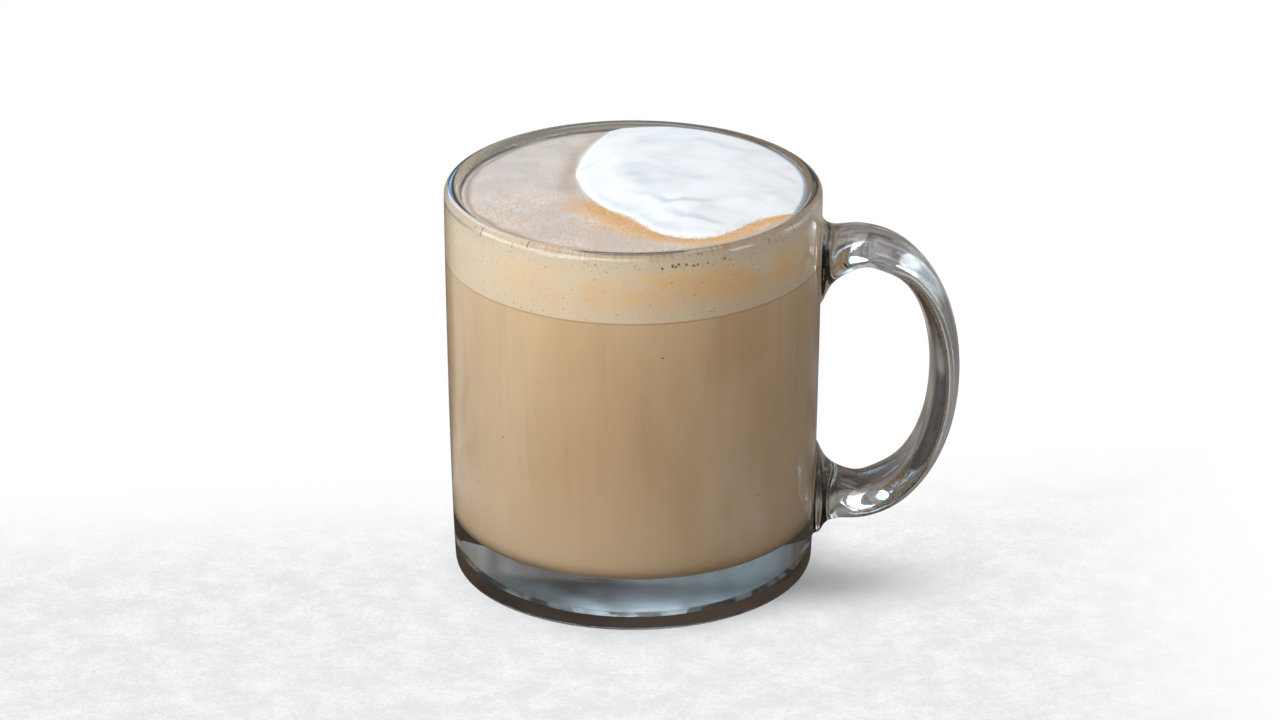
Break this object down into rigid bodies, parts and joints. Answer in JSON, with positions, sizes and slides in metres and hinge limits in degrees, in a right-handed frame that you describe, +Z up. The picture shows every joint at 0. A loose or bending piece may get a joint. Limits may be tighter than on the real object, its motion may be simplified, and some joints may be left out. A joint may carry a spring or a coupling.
{
  "type": "flat white in a glass mug",
  "caption": "Milky coffee with a foam layer and a poured patch of white milk foam, in a straight clear glass mug with a handle.",
  "frame": {"origin": "centre of the foot, on the surface it stands on", "axes": "+Z up along the mug's axis, +X towards the handle"},
  "size_m": [0.1158, 0.084, 0.0926],
  "materials": {
    "clear_glass": "smooth pressed glass",
    "milky_coffee": "opaque liquid",
    "coffee_foam": "fine wet foam",
    "milk_foam": "fine satin foam"
  },
  "bodies": {
    "root": {"mug": "clear_glass", "coffee": "milky_coffee", "foam": "coffee_foam", "milk_foam": "milk_foam"}
  },
  "joints": []
}
